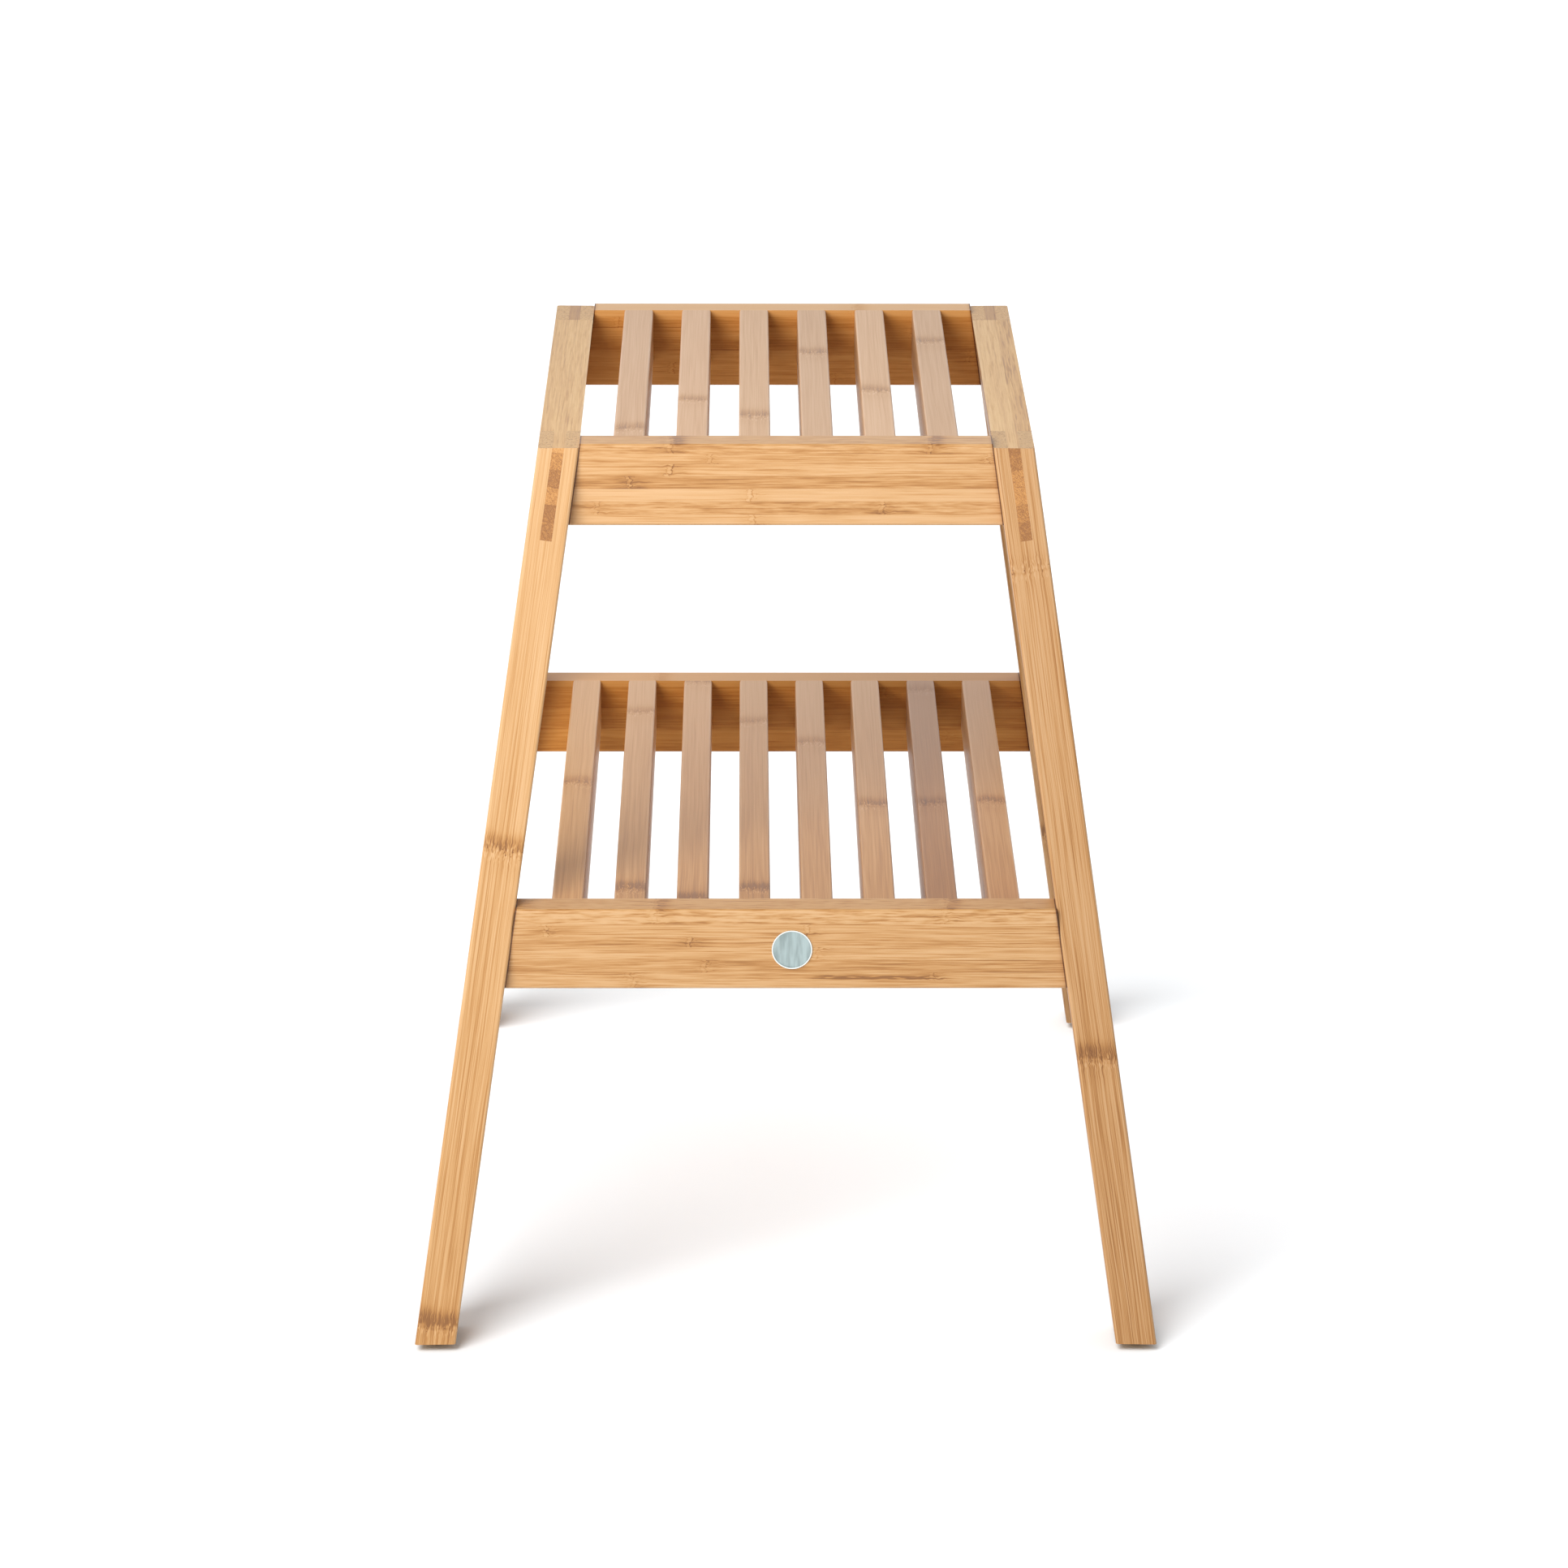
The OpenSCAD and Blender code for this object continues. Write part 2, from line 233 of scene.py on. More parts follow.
@dataclass
class Look:
    """How one board's bamboo differs from plain bamboo, painted light and shade included. Tints multiply the
    colour.
    """

    contrast: float = 1.0  # of its fibres and streaks
    mark: float = 1.0  # strength of the marks at its nodes
    pit: float = 1.0  # strength of the dots there
    spread: float = 1.0  # length of those marks
    stretch: float = 1.0  # below 1 the fibres are longer
    fleck: float = 0.0  # short dark dashes
    drift: float = 0.0  # painted light: a change of tone from one end to the other, paler towards +x
    squiggle: float = 0.0  # curled lines on the ends
    gloss: float = 1.47  # index of refraction
    ends: tuple = None  # (half length at the middle, slope, darkness) of the painted shade where the board meets a leg
    dim: tuple = None  # (start, stop, darkness) of a darker length on the upper face
    column: tuple = None  # (where a second column of strips begins, its change of tone)
    stain: tuple = None  # (x, half length, y, half height, darkness) of a dark flame
    fresh: float = None  # beyond this x the nodes are pale, not brown
    end_tones: tuple = None  # each strip's tone on the end grain
    end_tint: tuple = None  # on the end grain
    top_tint: tuple = None  # painted light on the wide faces: paler for a painted sheen, darker for painted shade
    inner_tint: tuple = None  # painted shade on the face towards +z: darker and more saturated, as in the shade of the slats


# a board's colour as its tone goes from 0, dark, to 1, pale: shares of its own colour
SHADES = (
    (0.00, (0.44, 0.33, 0.24)),
    (0.25, (0.76, 0.64, 0.46)),
    (0.50, (0.94, 0.90, 0.84)),
    (0.75, (1.06, 1.11, 1.24)),
    (1.00, (1.14, 1.27, 1.64)),
)
END_TONE = 0.58
LONGEST = 400.0  # mm: node spacings are stored as shares of this
MATT = 1.4  # a board with a lower index of refraction has no varnish
ARRIS = 0.4  # mm, the rounding of a board's corners
APRON_ARRIS = 1.1
GRAIN_DEPTH = 0.06  # mm
LEG_SHADE_REACH, LEG_SHADE_COLOUR = 2.6, (0.60, 0.46, 0.33)  # mm from a leg over which painted shade darkens the board, and its colour
GAP_SHADE, GAP_SHADE_END, GAP_SHADE_COLOUR = 0.75, 0.45, (0.20, 0.11, 0.05)  # painted shade of the gap at the joint: a dark line
PROUD = 1.8  # mm, how far an apron's end stands above the legs
DIM_COLOUR = (0.62, 0.50, 0.38)


def strip_tables(strips):
    """Two ramps over a board's height, from its outer face in: each strip's numbers, and how far
    through the strip a point is."""
    total = sum(s[0] for s in strips)
    numbers, across, at = [], [], 0.0
    for thickness, tone, ripple, node_x, spacing in strips:
        phase = (node_x / spacing) % 1.0
        numbers.append((at / total, (tone, ripple, phase, spacing / LONGEST)))
        end = (at + thickness) / total
        across.append((at / total + 0.0002, (0.0, 0.0, 0.0, 1.0)))
        across.append((end - 0.0002, (1.0, 1.0, 1.0, 1.0)))
        at += thickness
    return numbers, across


class Bamboo:
    """The node tree of one board of laminated bamboo. strips are (mm, tone, ripple, a node's place along the
    strip, node spacing) from the board's outer face in. Lengths are millimetres in the board's own axes."""

    def __init__(self, board, strips, colour, seed, look):
        self.board, self.colour, self.look = board, colour, look
        self.t = Tree(board.name + "_bamboo")
        self.lay_strips(strips, seed)
        self.find_nodes()
        self.draw_noises()
        total = self.stained(self.grain())
        total = self.t.add(total, *self.edge_marks(), *self.face_marks())
        total = self.glued(total)
        total = self.ended(total)
        self.material = self.finished(self.joined(self.coloured(total)))

    def lay_strips(self, strips, seed):
        """Finds which strip a point is in, with the strip's own numbers, and which way its surface faces."""
        t, board, look = self.t, self.board, self.look
        self.x, self.y, self.z = t.place(board.axes, board.middle)
        self.normal = t.node("ShaderNodeTexCoord").outputs["Normal"]
        self.end_face = t.fade(t.size(t.dot(self.normal, board.axes[0])), 0.55, 0.85)
        self.flat = t.fade(t.size(t.dot(self.normal, board.axes[1])), 0.45, 0.80)  # 1 on wide faces
        self.edgewise = t.less(self.flat)  # 1 on the strips' edges
        self.numbers, across = strip_tables(strips)
        self.depth = t.math("MULTIPLY_ADD", self.y, -1.0 / board.height, 0.5, clamp=True)
        table = t.ramp(self.depth, self.numbers, steps=True)
        split = t.node("ShaderNodeSeparateColor")
        t.feed(split.inputs[0], table.outputs["Color"])
        self.tone, self.ripple, self.phase = split.outputs
        self.spacing = t.times(table.outputs["Alpha"], LONGEST)
        self.saw = t.ramp(self.depth, across).outputs["Color"]
        self.w = t.add(t.times(self.phase, 31.0), t.times(self.tone, 17.0), seed)
        self.fleck = look.fleck
        if look.column is not None:
            start, change = look.column
            beyond = t.math("GREATER_THAN", self.z, start)
            self.w = t.add(self.w, t.times(beyond, 7.3))
            self.tone = t.add(self.tone, t.times(beyond, change))
            self.fleck = t.math("MULTIPLY_ADD", beyond, look.fleck, look.fleck)

    def noise(self, x, y, z, offset=0.0, detail=2.0, roughness=0.5, wandering=False):
        """Noise of these frequencies along the board's axes, different in every strip."""
        t = self.t
        across, over = (self.yf, self.zf) if wandering else (self.y, self.z)
        w = t.add(self.w, offset) if offset else self.w
        return t.noise(t.times(self.x, x), t.times(across, y), t.times(over, z), w, detail, roughness)

    def find_nodes(self):
        """How far a point is from a node, where the cane's joints cross the strip."""
        t = self.t
        turn = t.math("SUBTRACT", t.math("DIVIDE", self.x, self.spacing), self.phase)
        near = t.times(t.math("SUBTRACT", t.math("FRACT", t.math("ADD", turn, 0.5)), 0.5), self.spacing)
        jag = self.noise(0.05, 0.42, 0.10, 0.0, 2.0, 0.6)
        bow = self.noise(0.03, 0.10, 0.07, 3.0, 0.0)
        swing = t.math("MULTIPLY_ADD", self.flat, -6.5, 9.0)
        self.node_at = t.add(
            t.times(near, 1.0 / self.look.spread),
            t.times(t.math("SUBTRACT", jag, 0.5), swing),
            t.wave(bow, 4.0),
        )
        self.reach = t.size(self.node_at)

    def draw_noises(self):
        """Fibres that wander slowly, and swirl at the nodes."""
        t, long = self.t, self.look.stretch
        wander = t.wave(self.noise(0.016, 0.10, 0.06, 0.0, 1.0), 1.5)
        swirl = t.wave(self.noise(0.25, 0.50, 0.35, 0.0, 1.0), 2.4)
        shift = t.add(wander, t.times(swirl, t.fade(self.reach, 11.0, 1.0)))
        self.yf = t.add(self.y, t.times(shift, self.edgewise))
        self.zf = t.add(self.z, t.times(shift, self.flat))
        self.fibre = self.noise(0.014 * long, 0.75, 0.75, 0.0, 3.0, 0.74, wandering=True)
        self.hair = self.noise(0.035 * long, 1.9, 1.9, 0.0, 1.0, 0.6, wandering=True)
        self.streak = self.noise(0.010, 0.32, 0.26, 5.0, 2.0, 0.5, wandering=True)
        self.slow = self.noise(0.007, 0.05, 0.03, 9.0, 1.0)
        self.flame = self.noise(0.11, 0.95, 0.95, 2.0, 2.0, wandering=True)
        self.dash = self.noise(0.06 * long, 1.1, 1.1, 6.0, 1.0, wandering=True)

    def grain(self):
        """The tone of plain fibres, kept softly between dark and pale."""
        t, look = self.t, self.look
        calm = t.math("MULTIPLY_ADD", self.flat, -0.45, 1.0)
        dashes = t.times(t.fade(self.dash, 0.52, 0.66), t.times(self.fleck, -1.0))
        grain = t.add(
            t.wave(self.fibre, 1.15 * look.contrast),
            t.wave(self.hair, 1.50 * look.contrast),
            t.times(t.wave(self.streak, 0.30 * look.contrast), calm),
            t.times(t.wave(self.slow, 0.35 * look.contrast), calm),
            t.times(t.wave(self.flame, 3.0), self.ripple),
            t.times(dashes, t.math("MULTIPLY_ADD", self.flat, 0.7, 0.3)),
        )
        across_strip = t.math("MULTIPLY_ADD", self.saw, -0.08, 0.04)
        # painted light along the board: the tone changes from one end to the other
        total = t.add(self.tone, grain, across_strip, t.times(self.x, look.drift / self.board.length))
        return t.fade(total, -0.12, 1.12, 0.12, 0.96)

    def stained(self, total):
        if self.look.stain is None:
            return total
        t = self.t
        at_x, half_x, at_y, half_y, dark = self.look.stain
        along = t.fade(t.size(t.add(self.x, -at_x)), half_x, 0.5 * half_x)
        within = t.fade(t.size(t.add(self.yf, t.wave(self.streak, 3.0), -at_y)), half_y, 0.3 * half_y)
        ragged = t.times(t.fade(self.flame, 0.35, 0.60, 0.3, 1.0), -dark)
        return t.add(total, t.times(t.times(along, within), ragged))

    def edge_marks(self):
        """A node on a strip's edge: thin curls, a paler ridge and pores."""
        t, mark, at = self.t, self.look.mark, self.node_at
        strength = t.math("MULTIPLY_ADD", t.math("FRACT", t.times(self.w, 3.7)), 0.7, 0.3)
        on_edge = t.times(self.edgewise, strength)
        self.line = t.times(t.fade(self.reach, 0.50, 0.10), on_edge)
        second = t.times(t.fade(t.size(t.add(at, 2.4, t.wave(self.hair, 3.0))), 0.45, 0.1), on_edge)
        self.ridge = t.times(t.fade(t.size(t.add(at, 1.3)), 1.7, 0.5), on_edge)
        grit = self.noise(0.75, 0.95, 0.95, 0.0, 2.0, 0.6)
        self.pores = t.times(t.times(t.fade(grit, 0.60, 0.68), t.fade(self.reach, 5.0, 1.5)), on_edge)
        return (
            t.times(self.ridge, 0.12 * mark),
            t.times(self.line, -0.30 * mark),
            t.times(second, -0.18 * mark),
            t.times(self.pores, -0.24 * mark),
        )

    def face_marks(self):
        """A node on a wide face: a brown band with a jagged foot, dots, pale flecks and a soft halo."""
        t, look, at, flat = self.t, self.look, self.node_at, self.flat
        teeth = t.wave(self.noise(0.10, 0.9, 0.9, 8.0, 2.0), 5.5)
        plume = t.add(at, t.wave(self.fibre, -9.0))
        band = t.times(t.times(t.fade(plume, 9.0, 1.0), t.fade(t.add(at, teeth), -1.5, 1.0)), flat)
        seam = t.times(t.fade(t.size(t.add(at, 1.5, t.times(teeth, 0.5))), 0.9, 0.2), flat)
        pits = t.cells(t.times(self.x, 0.40), t.times(self.y, 0.40), t.times(self.z, 0.40))
        row = t.times(t.fade(t.size(t.add(at, 1.2)), 2.2, 1.4), flat)
        self.dots = t.times(t.fade(pits, 0.20, 0.11), row)
        flecks = t.fade(self.noise(0.28, 1.2, 1.2, 12.0, 1.0), 0.54, 0.66)
        pale = t.times(flecks, t.times(t.fade(t.size(t.add(at, 0.8)), 5.5, 1.5), flat))
        halo = t.fade(self.reach, 15.0, 2.0)
        if look.fresh is not None:
            young = t.fade(self.x, look.fresh - 1.0, look.fresh + 1.0)
            aged = t.math("MULTIPLY_ADD", young, -0.75, 1.0)
            band, halo = t.times(band, aged), t.times(halo, aged)
            pale = t.times(pale, t.math("MULTIPLY_ADD", young, 0.7, 1.0))
        return (
            t.times(band, -0.30 * look.mark),
            t.times(seam, -0.10 * look.mark),
            t.times(self.dots, -0.65 * look.pit),
            t.times(pale, 0.30 * look.mark),
            t.times(halo, -0.09 * look.mark),
        )

    def glued(self, total):
        """Glue lines between the strips, and arrises a little paler, partly from rubbed wear and partly a
        painted highlight.
        """
        t, board = self.t, self.board
        edge = t.math("MINIMUM", self.saw, t.less(self.saw))
        patchy = self.noise(0.05, 0.2, 0.2, 4.0, 1.0)
        self.glue = t.times(t.fade(edge, 0.07, 0.0), t.fade(patchy, 0.40, 0.60, 0.15, 1.0))
        self.glue = t.times(self.glue, self.edgewise)
        corner = t.add(
            t.math("SUBTRACT", board.height / 2, t.size(self.y)),
            t.math("SUBTRACT", board.width / 2, t.size(self.z)),
        )
        # the arrises paler: rubbed wear together with a painted highlight
        self.worn_highlight = t.times(t.fade(corner, 2.0, 0.3), t.fade(patchy, 0.35, 0.65, 0.5, 1.0))
        return t.add(total, t.times(self.glue, -0.12), t.times(self.worn_highlight, 0.10))

    def ended(self, total):
        """End grain: each strip's own tone, with the dots of its fibre bundles."""
        t, look = self.t, self.look
        bundles = t.cells(t.times(self.x, 0.02), t.times(self.y, 1.5), t.times(self.z, 1.5))
        self.speck = t.fade(bundles, 0.60, 0.25)
        end_tone = END_TONE
        if look.end_tones is not None:
            starts = (start for start, _ in self.numbers)
            stops = [(start, (tone, tone, tone, 1.0)) for start, tone in zip(starts, look.end_tones)]
            end_tone = t.ramp(self.depth, stops, steps=True).outputs["Color"]
        slant, cross = t.add(self.y, self.z), t.math("SUBTRACT", self.y, self.z)
        weave = t.noise(t.times(self.x, 0.05), t.times(slant, 1.2), t.times(cross, 0.5), self.w, 2.0)
        curl = self.noise(0.3, 0.55, 0.55, 14.0, 1.0, 0.4)
        curls = t.times(t.fade(t.size(t.math("SUBTRACT", curl, 0.5)), 0.045, 0.0), -look.squiggle)
        cut = t.add(end_tone, t.times(self.speck, -0.16), t.wave(weave, 0.6), t.times(self.glue, -0.1), curls)
        return t.add(t.times(total, t.less(self.end_face)), t.times(cut, self.end_face))

    def coloured(self, total):
        t, look = self.t, self.look
        stops = [
            (at, (*(own * share for own, share in zip(self.colour, shares)), 1.0))
            for at, shares in SHADES
        ]
        shade = t.ramp(total, stops).outputs["Color"]
        if look.end_tint is not None:
            shade = t.mix(self.end_face, shade, look.end_tint, "MULTIPLY")
        # painted light: the wide faces' tint stands for the sheen and shade they catch
        if look.top_tint is not None:
            shade = t.mix(self.flat, shade, look.top_tint, "MULTIPLY")
        # painted shade on the face towards +z, darker and more saturated
        if look.inner_tint is not None:
            inner = t.fade(t.dot(self.normal, self.board.axes[2]), 0.45, 0.80)
            shade = t.mix(inner, shade, look.inner_tint, "MULTIPLY")
        return shade

    def joined(self, shade):
        """Paints shade on the board where it meets a leg, a soft painted shadow and a dark line for the gap,
        and darkens a given length of its upper face.
        """
        t, look, board = self.t, self.look, self.board
        if look.ends is not None:
            half, slope, dark = look.ends
            inside = t.math("SUBTRACT", t.math("MULTIPLY_ADD", self.y, -slope, half), t.size(self.x))
            above = t.fade(self.y, board.height / 2 - PROUD - 0.4, board.height / 2 - PROUD)
            met = t.less(t.times(self.end_face, above))
            shadow = t.times(t.fade(inside, LEG_SHADE_REACH, 0.0, 0.0, 0.6 * dark), met)
            shade = t.mix(shadow, shade, LEG_SHADE_COLOUR, "MULTIPLY")
            # painted shade: a dark line in the gap at the joint
            shade = t.mix(t.times(t.fade(inside, GAP_SHADE, GAP_SHADE_END, 0.0, 0.9), met), shade, GAP_SHADE_COLOUR, "MULTIPLY")
        if look.dim is not None:
            start, stop, amount = look.dim
            upper = t.fade(t.dot(self.normal, board.axes[1]), 0.45, 0.80)
            hidden = t.times(t.fade(self.x, start, stop, 0.0, amount), upper)
            shade = t.mix(hidden, shade, DIM_COLOUR, "MULTIPLY")
        return shade

    def finished(self, shade):
        t, gloss = self.t, self.look.gloss
        rough = t.add(
            0.46,
            t.wave(self.hair, 0.16),
            t.wave(self.fibre, 0.14),
            t.times(t.add(self.line, self.dots), 0.15),
            t.times(self.worn_highlight, -0.06),
        )
        height = t.add(
            t.times(self.fibre, 0.6),
            t.times(self.hair, 0.5),
            t.times(self.line, -1.2),
            t.times(self.ridge, 0.5),
            t.times(self.dots, -1.2),
            t.times(self.pores, -0.8),
            t.times(self.glue, -0.5),
            t.times(t.times(self.speck, self.end_face), -0.6),
        )
        varnish = 0.08 if gloss > MATT else 0.0
        values = {"IOR": gloss, "Coat_Weight": varnish, "Coat_Roughness": 0.28}
        return t.finish(shade, rough, height, GRAIN_DEPTH, **values)


def bamboo(board, strips, colour, seed, **values):
    """Gives a board its bamboo and its rounded corners. values are those of Look."""
    look = Look(**values)
    wear(board.piece, Bamboo(board, strips, colour, seed, look).material)
    soften(board.piece, APRON_ARRIS if look.ends is not None else ARRIS)


def stack(rng, count, thickness, tone=0.5, spread=0.2, ripple=0.15, spacing=150.0):
    """Strips of one thickness with their tones and nodes drawn at random."""
    return [
        (
            thickness,
            tone + rng.uniform(-spread, spread),
            rng.uniform(0, ripple),
            rng.uniform(0, spacing),
            spacing * rng.uniform(0.9, 1.15),
        )
        for _ in range(count)
    ]


HONEY = (0.520, 0.282, 0.108)
LEG_HONEY = (0.522, 0.286, 0.110)
PINK_TAN = (0.520, 0.301, 0.150)
# the shelf slats' colour, yellower and more saturated than the seat slats': painted shade under the seat
SHELF_SHADED_TAN = (0.550, 0.300, 0.134)
SHELF_HONEY = (0.506, 0.274, 0.103)
DARK_HONEY = (0.442, 0.230, 0.084)
LEAN = math.tan(math.radians(8.165))  # the legs' slope from side to side

# the aprons' strips, from the top down: mm, tone, ripple, a node's place along it, node spacing
SEAT_STRIPS = (
    (4.8, 0.48, 0.42, -57.2, 130.2),
    (5.3, 0.54, 0.16, -37.5, 138.7),
    (6.3, 0.63, 0.18, -58.0, 300.0),
    (6.7, 0.37, 0.22, -78.2, 300.0),
    (6.6, 0.80, 0.04, -17.1, 280.0),
    (6.8, 0.47, 0.42, -95.2, 144.4),
    (5.8, 0.70, 0.05, -15.0, 290.0),
)
SHELF_STRIPS = (
    (7.8, 0.68, 0.70, -65.2, 147.3),
    (6.8, 0.56, 0.10, -119.8, 131.1),
    (5.4, 0.46, 0.14, -47.9, 300.0),
    (6.8, 0.62, 0.10, 16.2, 320.0),
    (6.8, 0.42, 0.14, -39.7, 300.0),
    (4.6, 0.58, 0.16, -78.3, 153.8),
    (4.3, 0.66, 0.10, -76.0, 320.0),
)
# the thin pale top strip of the rear aprons paints sheen on their upper faces
SEAT_REAR_STRIPS = (
    (3.5, 0.90, 0.05, 40.0, 260.0),
    (6.5, 0.40, 0.12, -90.0, 290.0),
    (6.5, 0.50, 0.08, 72.0, 310.0),
    (6.4, 0.36, 0.16, -20.0, 280.0),
    (6.5, 0.50, 0.10, 104.0, 300.0),
    (6.4, 0.42, 0.14, -60.0, 260.0),
    (6.5, 0.46, 0.06, 30.0, 310.0),
)
SHELF_REAR_STRIPS = (
    (3.5, 0.90, 0.05, -70.0, 280.0),
    (6.5, 0.44, 0.10, 60.0, 290.0),
    (6.5, 0.36, 0.16, -110.0, 250.0),
    (6.4, 0.50, 0.06, 20.0, 300.0),
    (6.5, 0.40, 0.14, -45.0, 270.0),
    (6.4, 0.52, 0.08, 95.0, 290.0),
    (6.5, 0.40, 0.10, -10.0, 310.0),
)


def apron(name, strips, seed, colour, **values):
    """A cross board whose ends meet the legs."""
    board = Board(name, (1, 0, 0), (0, 0, 1))
    low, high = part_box(name)
    half = (high.x - low.x) / 2 / MM - board.height / 2 * LEAN
    # the board's ends get painted shade where they meet the legs
    bamboo(board, strips, colour, seed, ends=(half, LEAN, 0.75), **values)


# the tint on each apron's upper and lower faces is painted light: paler for sheen, darker for shade
apron(
    "seat_apron_front", SEAT_STRIPS, 1.0, HONEY,
    contrast=0.85, mark=1.5, top_tint=(1.00, 0.98, 0.90),
)
apron(
    "shelf_apron_front", SHELF_STRIPS, 2.0, SHELF_HONEY,
    contrast=1.1, mark=1.3, top_tint=(0.95, 0.91, 0.79), stain=(46.0, 44.0, -15.0, 1.7, 0.85),
)
# the rear aprons' inner faces carry painted shade, darker and more saturated, for the slats' shade on them
apron(
    "seat_apron_rear", SEAT_REAR_STRIPS, 3.0, HONEY,
    contrast=0.6, gloss=1.28, top_tint=(1.08, 1.09, 1.11), inner_tint=(0.98, 0.79, 0.49),
)
apron(
    "shelf_apron_rear", SHELF_REAR_STRIPS, 4.0, SHELF_HONEY,
    contrast=0.65, gloss=1.28, top_tint=(1.075, 1.03, 1.02), inner_tint=(0.88, 0.68, 0.36),
)

rng = random.Random(21)

# slats: the top strip's nodes (place and spacing), and a tint for each
SEAT_SLATS = (
    (-130.4, 300.0, (1.00, 1.00, 1.00)),
    (-68.2, 310.0, (1.05, 1.05, 1.05)),
    (-102.2, 300.0, (1.03, 1.03, 1.00)),
    (42.4, 330.0, (0.97, 0.97, 0.96)),
    (-48.0, 320.0, (1.07, 1.08, 1.07)),
    (67.9, 320.0, (0.95, 0.95, 0.94)),
)
SHELF_SLATS = (
    (0.0, 420.0, (1.00, 1.00, 0.88)),
    (135.4, 319.3, (0.97, 0.99, 0.96)),
    (197.9, 400.0, (0.97, 0.98, 0.96)),
    (116.1, 300.1, (0.94, 0.95, 0.92)),
    (76.5, 390.0, (0.96, 0.98, 0.98)),
    (-39.9, 400.0, (0.98, 1.00, 0.98)),
    (179.6, 216.6, (0.69, 0.63, 0.59)),
    (-34.1, 400.0, (0.95, 0.93, 0.87)),
)


def slat(name, node_y, spacing, seed, colour, tint, top_tone, drift):
    board = Board(name, (0, 1, 0), (0, 0, 1))
    top = (6.2, top_tone, 0.0, node_y, spacing)
    strips = [top] + stack(rng, 4, 5.75, spread=0.12, ripple=0.1, spacing=170.0)
    tinted = tuple(own * share for own, share in zip(colour, tint))
    bamboo(
        board, strips, tinted, seed,
        contrast=0.62, mark=1.15, pit=0.25, spread=2.0, stretch=0.40, drift=drift,
    )


for index, (node_y, spacing, tint) in enumerate(SEAT_SLATS, 1):
    slat(f"seat_slat_{index}", node_y, spacing, 10.0 + index, PINK_TAN, tint, 0.55, 0.0)
# the shelf slats darken towards the front, painted shade under the seat
for index, (node_y, spacing, tint) in enumerate(SHELF_SLATS, 1):
    slat(f"shelf_slat_{index}", node_y, spacing, 30.0 + index, SHELF_SHADED_TAN, tint, 0.51, 0.33 + 0.032 * index)

# legs: a wide strip on the front and back faces, the laminations' edges on the sides
# the legs darken towards the floor, a painted falloff of the light
PLAIN_LEG = {"contrast": 1.0, "drift": 0.30, "end_tint": (1.08, 1.18, 1.16)}
DARK_LEG = {"contrast": 1.55, "drift": 0.26, "end_tint": (1.20, 1.38, 1.42), "fresh": 60.0}
LEGS = (
    ("leg_front_left", -1, 21.0, 244.0, LEG_HONEY, 40.0, PLAIN_LEG),
    ("leg_front_right", -1, 165.0, 251.0, DARK_HONEY, 41.0, DARK_LEG),
    ("leg_rear_left", 1, 90.0, 255.0, LEG_HONEY, 42.0, PLAIN_LEG),
    ("leg_rear_right", 1, -40.0, 262.0, HONEY, 43.0, PLAIN_LEG),
)
for name, facing, node_x, spacing, colour, seed, values in LEGS:
    board = Board(name, (0, 0, 1), (0, facing, 0))
    strips = [(6.0, 0.56, 0.05, node_x, spacing)] + stack(rng, 5, 5.94, spread=0.16, spacing=250.0)
    bamboo(
        board, strips, colour, seed,
        mark=1.5, spread=1.2, stretch=0.4, fleck=0.06, squiggle=0.45, **values,
    )

# rails: their tongues' end grain shows on the legs' faces, one block for each strip
RAIL_STRIPS = (3.5, 8.0, 8.0, 8.0, 8.0, 8.5)
TONGUE = 46.9  # mm from a rail's end to the leg's inner side
RAILS = (
    ("rail_left", 50.0, (0.42, 0.24, 0.11, 0.26, 0.07, 0.12), None),
    ("rail_right", 51.0, (0.06, 0.12, 0.24, 0.27, 0.17, 0.08), (2.0, -0.22)),
)
for name, seed, end_tones, column in RAILS:
    board = Board(name, (0, 1, 0), (0, 0, 1))
    strips = [
        (mm, 0.56 + rng.uniform(-0.1, 0.1), 0.1, 200.0 + rng.uniform(-12, 12), 400.0)
        for mm in RAIL_STRIPS
    ]
    joint = board.length / 2 - TONGUE
    # the rail's upper and lower faces get a paler tint of painted light
    bamboo(
        board, strips, LEG_HONEY, seed,
        contrast=0.75, mark=0.5, pit=0.3, stretch=0.7, fleck=0.2,
        top_tint=(1.14, 1.224, 1.145), end_tint=(1.14, 1.114, 1.053),
        column=column, end_tones=end_tones, dim=(joint, joint + 0.5, 0.85),
    )


# ---------------------------------------------------------------- metal, plastic and dowels

def brushed(name, colour, roughness, stretch, rim=None):
    """Brushed metal with fine parallel lines. rim is (centre, inner radius, colour) of a brighter ring."""
    t = Tree(name)
    x, y, z = t.place(WORLD_AXES, rim[0] if rim else (0, 0, 0))
    sx, sy, sz = stretch
    lines = t.noise(t.times(x, sx), t.times(y, sy), t.times(z, sz), 1.0, 3.0, 0.7)
    cloud = t.noise(t.times(x, 0.24), t.times(y, 0.12), t.times(z, 0.05), 2.0, 2.0)
    tone = t.add(t.fade(cloud, 0.36, 0.62, 0.80, 1.18), t.wave(lines, 0.30))
    shade = t.mix(1.0, colour, t.vector(tone, tone, tone), "MULTIPLY")
    rough = t.add(roughness, t.wave(lines, 0.2), t.wave(cloud, 0.1))
    if rim:
        centre, inner, bright = rim
        radius = t.math("SQRT", t.add(t.times(x, x), t.times(z, z)))
        ring = t.fade(radius, inner - 0.05, inner + 0.05)
        shade = t.mix(ring, shade, bright)
        rough = t.math("MULTIPLY_ADD", ring, -0.12, rough)
    return t.finish(shade, rough, lines, 0.02, Metallic=1.0)


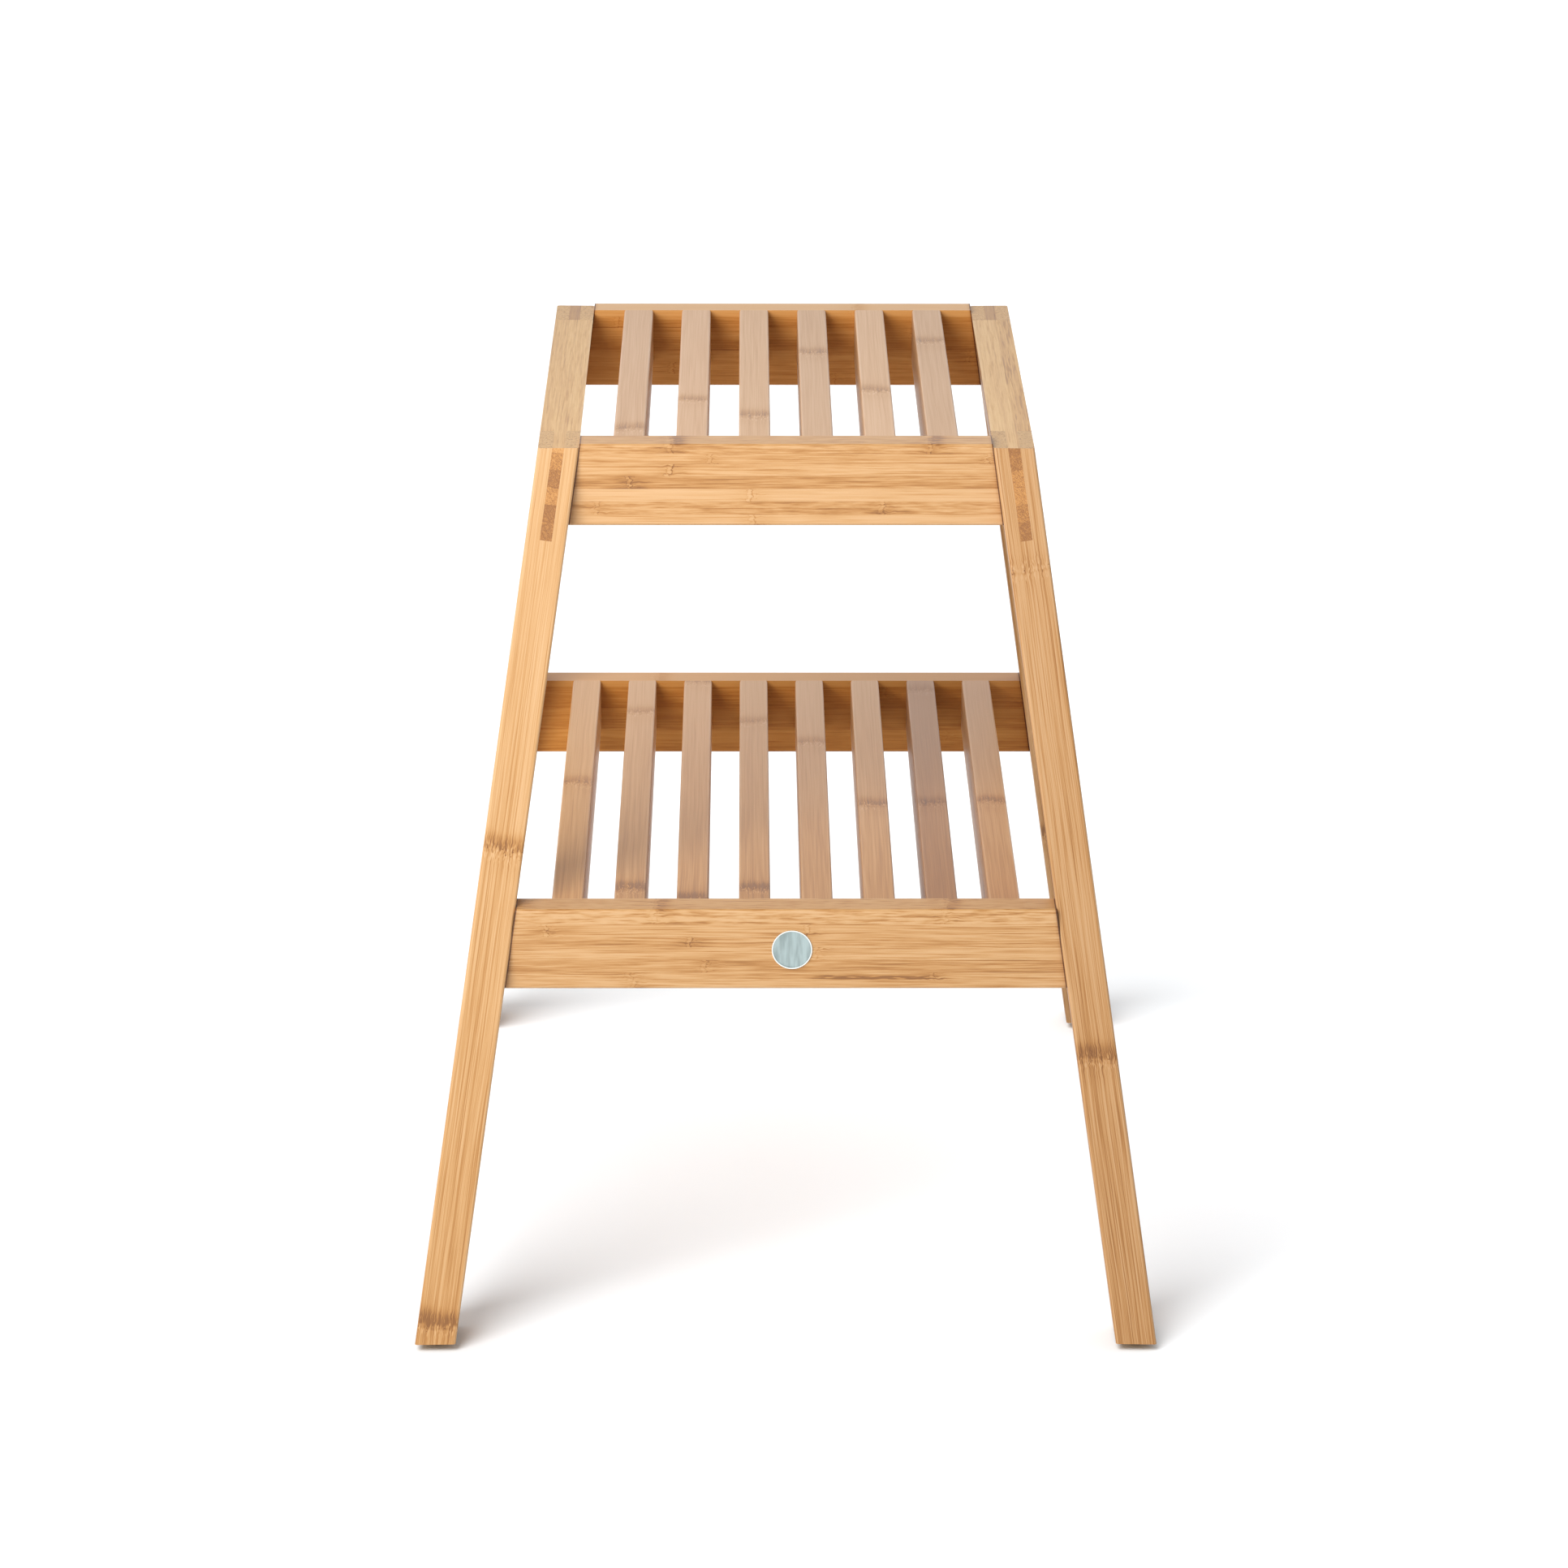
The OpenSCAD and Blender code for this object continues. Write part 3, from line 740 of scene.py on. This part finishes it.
low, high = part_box("badge_disc")
rim = (tuple((low + high) / 2), 9.7, (0.90, 0.90, 0.86))
badge = brushed("badge_brushed", (0.40, 0.475, 0.465), 0.34, (2.2, 2.2, 0.05), rim)
wear(nodes["badge_disc"], badge)
steel = brushed("steel_brushed", (0.55, 0.55, 0.54), 0.32, (0.3, 3.0, 3.0))
for name in ("frame_bolts", "barrel_nuts", "glide_nails"):
    wear(nodes[name], steel)


def moulded(name, colour):
    """Moulded plastic with a fine grain and slightly scuffed faces."""
    t = Tree(name)
    x, y, z = t.place(WORLD_AXES, (0, 0, 0))
    grain = t.noise(t.times(x, 3.0), t.times(y, 3.0), t.times(z, 3.0), 0.0, 3.0, 0.6)
    scuff = t.noise(t.times(x, 0.5), t.times(y, 0.5), t.times(z, 0.5), 5.0, 2.0)
    worn = t.fade(scuff, 0.55, 0.75, 0.0, 0.5)
    shade = t.mix(worn, colour, tuple(c * 1.8 for c in colour))
    rough = t.add(0.52, t.wave(grain, 0.2), t.times(worn, 0.15))
    return t.finish(shade, rough, grain, 0.03)


glide = moulded("glide_moulded", (0.030, 0.024, 0.020))
for name in nodes:
    if name.startswith("glide_") and name != "glide_nails":
        wear(nodes[name], glide)


def beech():
    """Turned dowel wood: pale, with short fine flecks."""
    t = Tree("dowel_beech")
    x, y, z = t.place(WORLD_AXES, (0, 0, 0))
    grain = t.noise(t.times(x, 0.5), t.times(y, 0.5), t.times(z, 1.6), 0.0, 3.0, 0.6)
    fleck = t.noise(t.times(x, 2.0), t.times(y, 2.0), t.times(z, 3.0), 3.0, 1.0)
    tone = t.add(t.wave(grain, 0.8), t.times(t.fade(fleck, 0.6, 0.7), -0.2), 0.5)
    shade = t.ramp(tone, ((0.0, (0.42, 0.25, 0.13, 1)), (1.0, (0.70, 0.50, 0.31, 1)))).outputs["Color"]
    return t.finish(shade, t.add(0.6, t.wave(grain, 0.1)), grain, 0.05)


dowel = beech()
for name in ("apron_dowels", "seat_slat_dowels", "shelf_slat_dowels"):
    wear(nodes[name], dowel)


# ---------------------------------------------------------------- studio

FLOOR_HALF = 20.0  # m
FLOOR_WHITE = 0.895  # so that the floor just reaches plain white
TO_KEY = (-0.54, -0.84, 0.58)
TO_FLOOR_SUN = (-0.52, -0.84, 1.10)


def show(name, data):
    made = bpy.data.objects.new(name, data)
    bpy.context.scene.collection.objects.link(made)
    return made


def floor_plane():
    mesh = bpy.data.meshes.new("studio_floor")
    h = FLOOR_HALF
    mesh.from_pydata([(-h, -h, 0), (h, -h, 0), (h, h, 0), (-h, h, 0)], [], [(0, 1, 2, 3)])
    floor = show("studio_floor", mesh)
    t = Tree("studio_floor")
    x, y, z = t.place(WORLD_AXES, (0, 0, 0))
    grain = t.noise(t.times(x, 0.02), t.times(y, 0.02), 0.0, 0.0, 3.0)
    tone = t.add(FLOOR_WHITE, t.wave(grain, 0.01))
    white = t.vector(t.times(tone, 0.970), tone, t.times(tone, 1.025))
    floor.data.materials.append(t.finish(white, 0.85, IOR=1.3))
    return floor


def gather(name, things):
    """A collection for light linking."""
    made = bpy.data.collections.new(name)
    for thing in things:
        made.objects.link(thing)
    return made


floor = floor_plane()

lamp = bpy.data.lights.new("key", "AREA")
lamp.shape = "DISK"
lamp.size = 1.3
lamp.energy = 41.4
key = show("key", lamp)
aim = Vector((0, 0, 0.30))
key.location = aim + Vector(TO_KEY).normalized() * 1.95
key.rotation_euler = (aim - key.location).to_track_quat("-Z", "Y").to_euler()
key.light_linking.receiver_collection = gather("bench_lit_by_key", nodes.values())

# the floor has its own lamp, blocked by the legs only, so that the shadows lie at the feet
sun = bpy.data.lights.new("floor_sun", "SUN")
sun.energy = 3.1
sun.angle = math.radians(38)
floor_sun = show("floor_sun", sun)
floor_sun.rotation_euler = Vector(TO_FLOOR_SUN).to_track_quat("Z", "Y").to_euler()
legs = [piece for name, piece in nodes.items() if name.startswith("leg_")]
floor_sun.light_linking.receiver_collection = gather("floor_lit_by_sun", [floor])
floor_sun.light_linking.blocker_collection = gather("legs_shade_floor", legs)

# white surround: brighter from behind the bench, and plain white as a backdrop
world = bpy.data.worlds.new("studio")
world.use_nodes = True
tree = world.node_tree
background = tree.nodes["Background"]
coords = tree.nodes.new("ShaderNodeTexCoord")
split = tree.nodes.new("ShaderNodeSeparateXYZ")
spread = tree.nodes.new("ShaderNodeMapRange")
for socket, number in (("From Min", -0.2), ("From Max", 0.9), ("To Min", 0.42), ("To Max", 1.20)):
    spread.inputs[socket].default_value = number
seen = tree.nodes.new("ShaderNodeLightPath")
pick = tree.nodes.new("ShaderNodeMix")
tree.links.new(coords.outputs["Generated"], split.inputs[0])
tree.links.new(split.outputs["Y"], spread.inputs["Value"])
tree.links.new(seen.outputs["Is Camera Ray"], pick.inputs["Factor"])
tree.links.new(spread.outputs["Result"], pick.inputs["A"])
pick.inputs["B"].default_value = 1.0
tree.links.new(pick.outputs["Result"], background.inputs["Strength"])
background.inputs["Color"].default_value = (1, 1, 1, 1)
bpy.context.scene.world = world
bpy.context.scene.view_settings.view_transform = "Standard"

camera_data = bpy.data.cameras.new("camera")
camera_data.lens = 138.2
camera_data.sensor_width = 36.0
camera_data.clip_start = 0.05
camera_data.clip_end = 100.0
camera = show("camera", camera_data)
camera.location = (-0.02087, -3.10987, 1.17472)
turn = (
    Matrix.Rotation(math.radians(-0.39), 3, "Z")
    @ Matrix.Rotation(math.radians(72.95), 3, "X")
    @ Matrix.Rotation(math.radians(0.11), 3, "Z")
)
camera.rotation_euler = turn.to_euler()
bpy.context.scene.camera = camera
